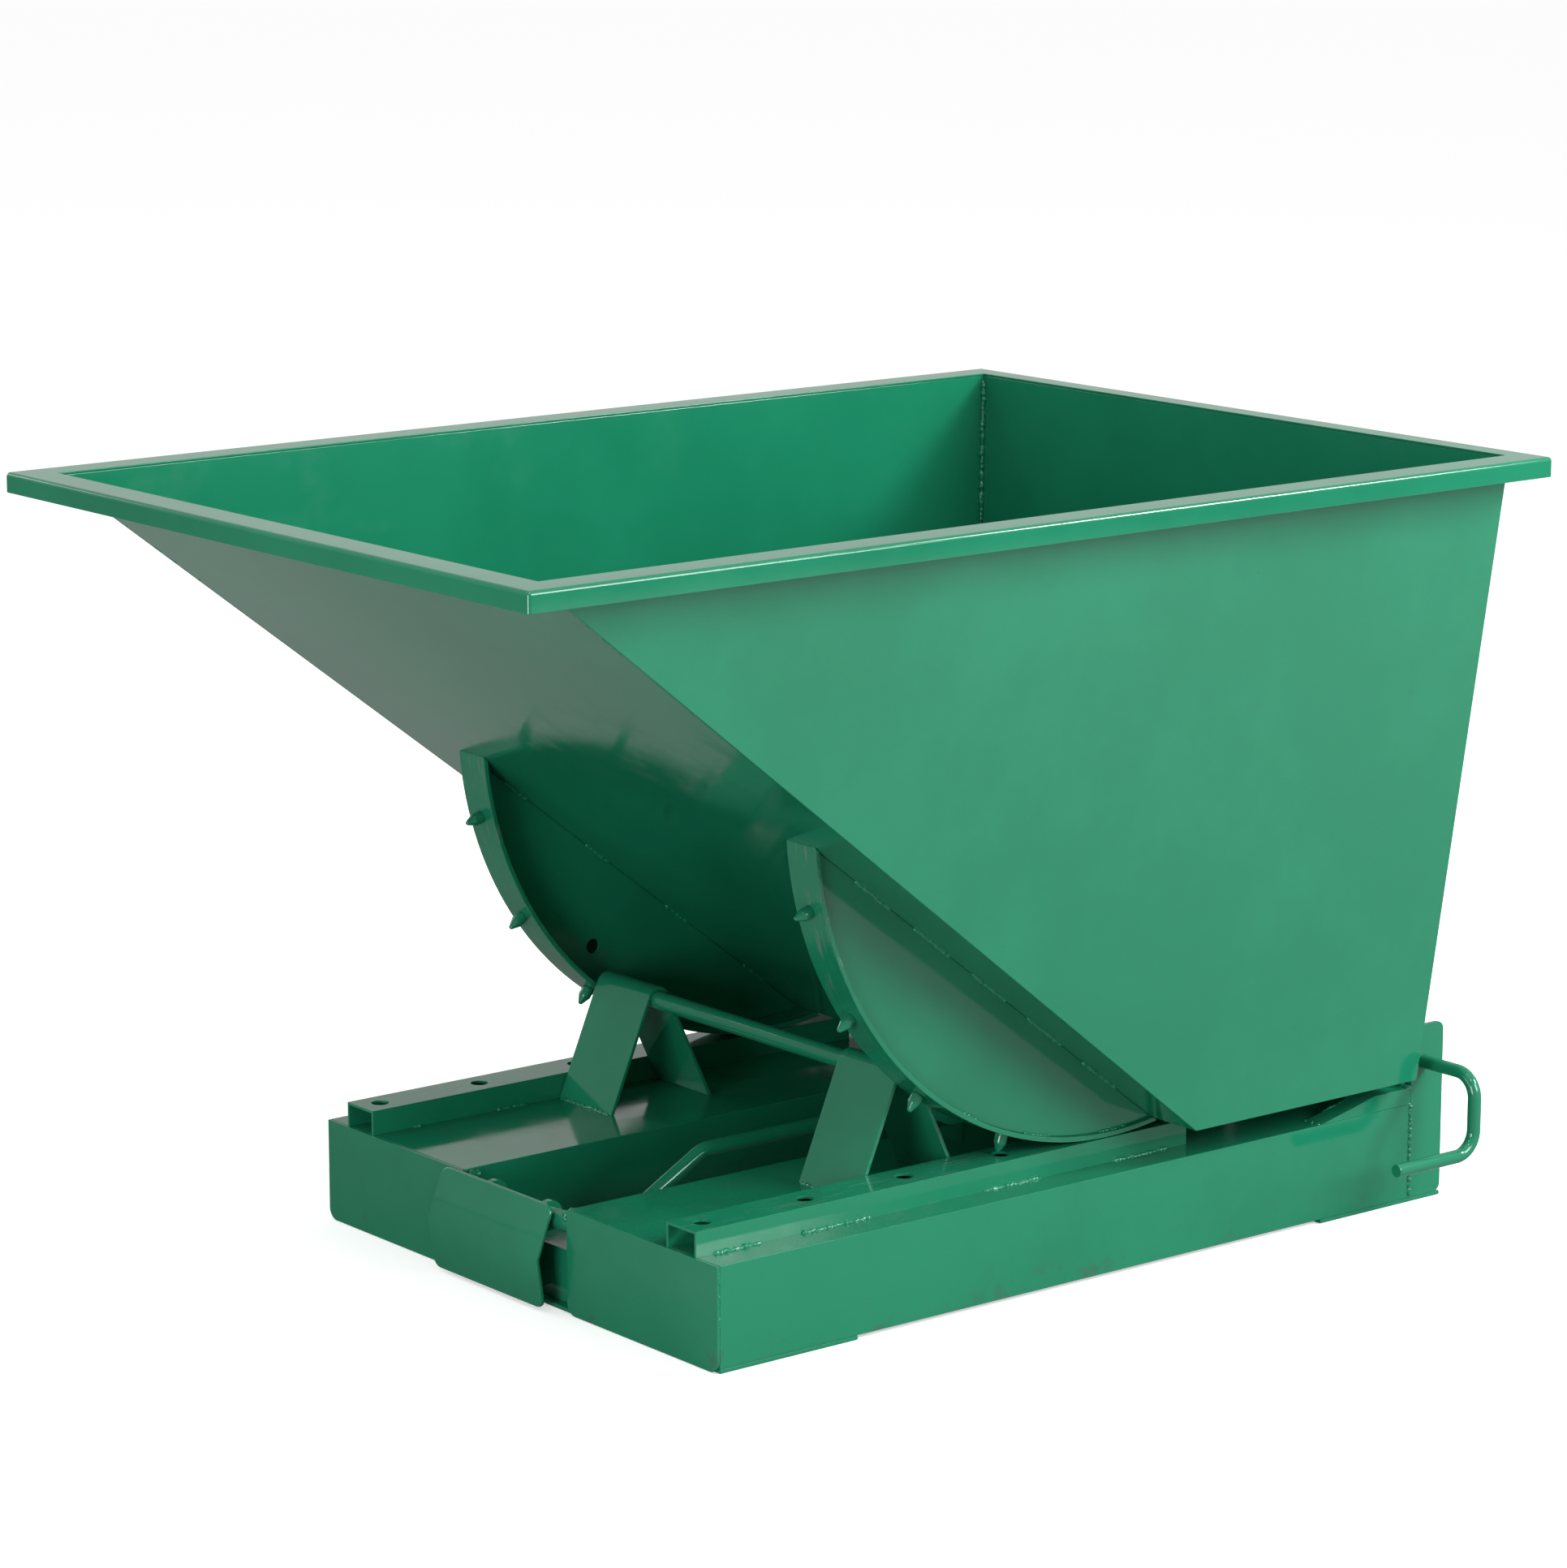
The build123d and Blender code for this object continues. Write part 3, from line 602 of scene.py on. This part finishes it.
for sign in (-1, 1):
    rearFoot = Vector((sign * innerX, rearFootY, footZ))
    rearTop = Vector((sign * topX, rearTopY, topZ))
    slopeFoot = Vector((sign * innerX, slopeFootY, footZ))
    slopeTop = Vector((sign * topX, slopeTopY, topZ))
    change = rearTop.lerp(rearFoot, innerBead["heavyShare"])
    innerSeams.append((rearFoot, change, innerBead["thin"]))
    innerSeams.append((change, rearTop.lerp(rearFoot, innerBead["topGap"]), innerBead["heavy"]))
    innerSeams.append((slopeFoot, slopeTop.lerp(slopeFoot, innerBead["topGap"]), innerBead["slope"]))
for seamY in (rearFootY, slopeFootY):
    innerSeams.append(((-innerX, seamY, footZ), (innerX, seamY, footZ), innerBead["thin"]))
layWeld("hopper_inner_seams", "hopper", "hopper_paint", innerSeams, innerBead["grain"])

# Rocker seams: plate to sloped front on both faces, and strip to plate
rockerBead = {
    "outer": (0.0027, 0.06, 0.105),  # radius, length and pitch of the stitches
    "inner": (0.0024, 0.04, 0.15),
    "stripRadius": 0.0021, "stripCount": 6, "stripHalfTurn": 0.045,
}
for side, sign in sideSign.items():
    plateLow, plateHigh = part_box(side + "_rocker_plate")
    outerFace, innerFace = (plateHigh.x, plateLow.x) if sign > 0 else (plateLow.x, plateHigh.x)
    chord = farthest(side + "_rocker_plate", y=1), farthest(side + "_rocker_plate", z=1)
    rockerSeams = []
    for faceX, stitch in ((outerFace, rockerBead["outer"]), (innerFace, rockerBead["inner"])):
        rockerSeams += stitches(*[(faceX, point.y, point.z) for point in chord], *stitch)
    plateRadius = rollCentre.z - plateLow.z
    first, last = [math.atan2(rollCentre.y - point.y, rollCentre.z - point.z) for point in chord]
    for step in range(rockerBead["stripCount"]):
        middle = first + (last - first) * (step + 0.5) / rockerBead["stripCount"]
        begin, centre, finish = [
            Vector((outerFace, rollCentre.y - plateRadius * math.sin(angle),
                    rollCentre.z - plateRadius * math.cos(angle)))
            for angle in (middle - rockerBead["stripHalfTurn"], middle, middle + rockerBead["stripHalfTurn"])
        ]
        for start, end in ((begin, centre), (centre, finish)):
            rockerSeams.append((start, end, rockerBead["stripRadius"]))
    layWeld(side + "_rocker_seams", "hopper", "hopper_paint", rockerSeams)

# Base seams: rails, stands, cross bar, channel fronts, end plates, pivot tube and ramps
baseBead = {
    "rail": 0.0031, "railInside": 0.0020, "stand": 0.0024, "bar": 0.0022, "endPlate": 0.0024,
    "endPlateFoot": 0.0026, "rampRun": 0.0020,
    "railRuns": ((-0.36, -0.30), (-0.24, -0.15), (0.02, 0.10), (0.21, 0.29)),  # along Y
    "railInsideTrim": (0.03, -0.02), "standInset": 0.006, "endPlateGap": 0.004, "endPlateFootGap": 0.003,
    "barStep": 0.004, "barInset": 0.002, "barRise": 0.006,
    "front": (0.0015, 0.012, 0.024),  # radius, length and pitch of the stitches
    "frontPlace": (0.0012, -0.001), "frontFrom": 0.02, "frontGap": 0.001,
    # lumps and spatter: start, end and radius, measured in, back and up from a corner
    "endPlateLump": ((0.003, -0.001, 0), (0.005, 0, 0.003), 0.0034),
    "tubeLumps": (((0.003, -0.009, 0.008), (0.003, 0.009, 0.012), 0.0050),
                  ((0.011, -0.006, 0.010), (0.003, 0, 0.013), 0.0042)),
    "rampSpatter": ((0.014, -0.003, 0), (0.003, -0.002, 0), 0.0034),
    "rampFoot": ((0.024, 0, 0), (0.004, 0, 0), 0.0022),
    "rampRunInset": 0.0255, "rampRunFrom": 0.03, "rampRunGap": 0.05,
    "rampRunLow": 0.006, "rampRunHigh": 0.019,
}


def lumpAt(sign, x, y, z, lump):
    # the corner is at x on the given side
    start, end, radius = lump
    return (*[Vector((sign * (x - inward), y + back, z + up)) for inward, back, up in (start, end)], radius)


barLow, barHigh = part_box("cross_bar")
barSeamZ = (barLow.z + barHigh.z) / 2 + baseBead["barRise"]
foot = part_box("left_rail")[0].z
trimFront, trimRear = baseBead["railInsideTrim"]
baseSeams = []
for side, sign in sideSign.items():
    railLow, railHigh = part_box(side + "_rail")
    outerRail, innerRail = (railHigh.x, railLow.x) if sign > 0 else (railLow.x, railHigh.x)
    for begin, finish in baseBead["railRuns"]:
        baseSeams.append(((outerRail, begin, foot), (outerRail, finish, foot), baseBead["rail"]))
        begin, finish = begin + trimFront, finish + trimRear
        baseSeams.append(((innerRail, begin, foot), (innerRail, finish, foot), baseBead["railInside"]))
    standLow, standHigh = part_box(side + "_stand")
    standFrom, standTo = standLow.x + baseBead["standInset"], standHigh.x - baseBead["standInset"]
    for y in (standLow.y, standHigh.y):
        baseSeams.append(((standFrom, y, foot), (standTo, y, foot), baseBead["stand"]))
    for x, step in ((standLow.x, baseBead["barStep"]), (standHigh.x, -baseBead["barStep"])):
        for y in (barLow.y + baseBead["barInset"], barHigh.y - baseBead["barInset"]):
            baseSeams.append(((x + step, y, barSeamZ), (x + step * 2, y, barSeamZ), baseBead["bar"]))
    channelLow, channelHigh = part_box(side + "_fork_channel")
    plateLow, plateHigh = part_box(side + "_end_plate")
    sideX, innerPlate = (channelHigh.x, plateLow.x) if sign > 0 else (channelLow.x, plateHigh.x)
    lowZ, highZ = plateLow.z + baseBead["endPlateGap"], foot - baseBead["endPlateGap"]
    baseSeams.append(((sideX, plateLow.y, lowZ), (sideX, plateLow.y, highZ), baseBead["endPlate"]))
    frontX, frontY = sideX - sign * baseBead["frontPlace"][0], channelLow.y + baseBead["frontPlace"][1]
    frontFoot = (frontX, frontY, baseBead["frontFrom"])
    frontTop = (frontX, frontY, foot - baseBead["frontGap"])
    baseSeams += stitches(frontFoot, frontTop, *baseBead["front"])
    fromY, toY = plateLow.y + baseBead["endPlateFootGap"], plateHigh.y - baseBead["endPlateFootGap"]
    baseSeams.append(((innerPlate, fromY, foot), (innerPlate, toY, foot), baseBead["endPlateFoot"]))
    baseSeams.append(lumpAt(sign, abs(sideX), plateLow.y, foot, baseBead["endPlateLump"]))
tubeLow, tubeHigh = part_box("flap_pivot_tube")
tube = (tubeLow + tubeHigh) / 2
rampLow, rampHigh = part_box("base_ramps")
for sign in (-1, 1):
    for lump in baseBead["tubeLumps"]:
        baseSeams.append(lumpAt(sign, tubeHigh.x, tube.y, tube.z, lump))
    baseSeams.append(lumpAt(sign, rampHigh.x, rampHigh.y, rampHigh.z, baseBead["rampSpatter"]))
    baseSeams.append(lumpAt(sign, rampHigh.x, rampLow.y, foot, baseBead["rampFoot"]))
    runX = sign * (rampHigh.x - baseBead["rampRunInset"])
    runFrom = (runX, rampLow.y + baseBead["rampRunFrom"], foot + baseBead["rampRunLow"])
    runTo = (runX, rampHigh.y - baseBead["rampRunGap"], foot + baseBead["rampRunHigh"])
    baseSeams.append((runFrom, runTo, baseBead["rampRun"]))
layWeld("base_seams", "base_frame", "frame_paint", baseSeams)
print("welds laid")

# Lock hole: a near-black disc in the bottom of it, painted shade that darkens the hole
lockHole = {
    "inset": 0.041, "turn": math.radians(39.7), "radius": 0.0088, "deep": 0.0030, "sheet": 0.0008,
    "tone": (0.001, 0.008, 0.005, 1.0), "edge": 0.0003,
}
# near-black paint for the disc in the hole: painted shade, not dirt
holeShadePaint = makePaint("holeShade", wave=0.1, wear=0.0, dust=0.0, splash=0.0, tone=lockHole["tone"])
plateLow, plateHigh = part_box("left_rocker_plate")
reach = rollCentre.z - plateLow.z - lockHole["inset"]
deselectAll()
# the disc sits at the hole's bottom and paints the shade there
bpy.ops.mesh.primitive_cylinder_add(
    vertices=40, radius=lockHole["radius"], depth=lockHole["sheet"], rotation=(0, math.pi / 2, 0),
    location=(plateHigh.x - lockHole["deep"], rollCentre.y - reach * math.sin(lockHole["turn"]),
              rollCentre.z - reach * math.cos(lockHole["turn"])),
)
grime = named(bpy.context.object, "lock_hole_painted_shade")
bakePlace(grime)
roundEdges(grime, lockHole["edge"])
smoothFaces(grime)
fitOut(grime, "hopper", holeShadePaint, "hopper_paint")


# Floor, lights and camera
studio = {
    "floorSize": 60.0, "floorDrop": 0.0005, "floorSeen": (0.90, 0.90, 0.90, 1.0),
    "floorMirrored": (0.34, 0.34, 0.34, 1.0), "floorGlow": 0.48, "floorRoughness": 0.9,
    "worldTone": (1.0, 1.0, 1.0, 1.0), "worldBand": (-0.8, 0.8), "worldStrength": (0.42, 0.68),
    "cameraPlace": (4.570, -3.645, 1.771), "cameraDown": 11.978, "cameraTurn": 51.457,
    "lens": 119.9, "sensor": 36,
}
deselectAll()
bpy.ops.mesh.primitive_plane_add(size=studio["floorSize"], location=(0, 0, cadBox[0].z - studio["floorDrop"]))
floor = named(bpy.context.object, "studio_floor")
floorPaint = bpy.data.materials.new("studioFloor")
floorPaint.use_nodes = True
floorTree = floorPaint.node_tree
floorShader = floorTree.nodes["Principled BSDF"]
floorShader.inputs["Roughness"].default_value = studio["floorRoughness"]
floorShader.inputs["Specular IOR Level"].default_value = 0.0
# white to the eye, but a grey that does not wash out the glossy enamel's reflections
sight = addNode(floorTree, "ShaderNodeLightPath")
seen = sight.outputs["Is Camera Ray"]
floorTone = mixColours(floorTree, seen, studio["floorMirrored"], studio["floorSeen"])
floorTree.links.new(floorTone, floorShader.inputs["Base Color"])
floorShader.inputs["Emission Color"].default_value = studio["worldTone"]
floorGlow = addMath(floorTree, "MULTIPLY", seen, studio["floorGlow"])
floorTree.links.new(floorGlow, floorShader.inputs["Emission Strength"])
floor.data.materials.append(floorPaint)

world = bpy.data.worlds.new("studioWorld")
world.use_nodes = True
background = world.node_tree.nodes["Background"]
background.inputs["Color"].default_value = studio["worldTone"]
# brighter behind the object than in front of it
heading = addNode(world.node_tree, "ShaderNodeTexCoord")
split = addNode(world.node_tree, "ShaderNodeSeparateXYZ")
world.node_tree.links.new(heading.outputs["Generated"], split.inputs[0])
strength = addRange(world.node_tree, split.outputs["Y"], *studio["worldBand"], *studio["worldStrength"])
world.node_tree.links.new(strength, background.inputs["Strength"])
bpy.context.scene.world = world
bpy.context.scene.view_settings.view_transform = "Standard"

lamps = [
    # name, place, looks at, size, power
    ("sideSoftbox", (4.4, 1.8, 2.4), (0, 0, 0.45), 2.2, 190),
    ("bendStrip", (2.8, 3.1, 3.1), (0.2, 0, 0.3), 0.9, 140),
    ("topSoftbox", (0.6, -0.3, 4.2), (0, 0, 0.4), 2.6, 24),
    ("frontSoftbox", (1.7, -4.0, 0.75), (0, 0, 0.3), 1.5, 84),
    ("leftFill", (-4.2, -1.2, 1.8), (0, 0, 0.4), 2.0, 45),
    ("rightSparkle", (2.6, -0.9, 3.6), (0, 0, 0.5), 0.3, 14),
    ("frontSparkle", (0.9, -3.0, 3.4), (0, 0, 0.5), 0.3, 10),
    ("leftSparkle", (-2.2, -2.4, 3.2), (0, 0, 0.5), 0.3, 8),
]
for lampName, place, target, size, power in lamps:
    deselectAll()
    bpy.ops.object.light_add(type="AREA", location=place)
    lamp = bpy.context.object
    lamp.name = lampName
    lamp.data.size = size
    lamp.data.energy = power
    lamp.rotation_euler = (Vector(target) - Vector(place)).to_track_quat("-Z", "Y").to_euler()

deselectAll()
bpy.ops.object.camera_add(
    location=studio["cameraPlace"],
    rotation=(math.radians(90 - studio["cameraDown"]), 0, math.radians(studio["cameraTurn"])),
)
camera = bpy.context.object
camera.data.lens = studio["lens"]
camera.data.sensor_width = studio["sensor"]
bpy.context.scene.camera = camera
print("studio set")
